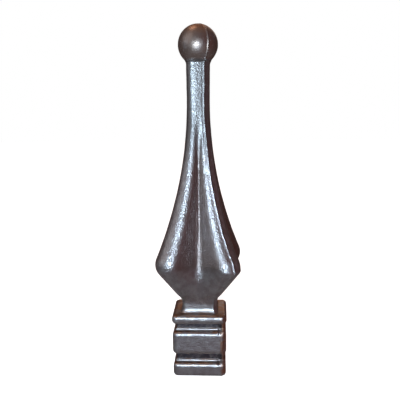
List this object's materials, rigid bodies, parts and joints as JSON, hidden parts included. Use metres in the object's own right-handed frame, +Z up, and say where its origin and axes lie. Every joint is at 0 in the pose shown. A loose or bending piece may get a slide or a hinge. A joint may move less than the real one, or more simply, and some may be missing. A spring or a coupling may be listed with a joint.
{
  "type": "fence finial",
  "caption": "Cast iron fence finial with a ball tip, a slim square neck, a four-ribbed spear body and a square moulded foot for the top of a picket.",
  "frame": {"origin": "centre of the flat square underside of the foot", "axes": "+Z up along the upright axis to the ball, -Y out of the front face, +X to the right of the front face"},
  "size_m": [0.032, 0.032, 0.1314],
  "materials": {
    "bare_cast_iron": "bare casting skin, fine grained and semi-gloss, with brown tints"
  },
  "bodies": {
    "root": {"finial": "bare_cast_iron"}
  },
  "joints": []
}
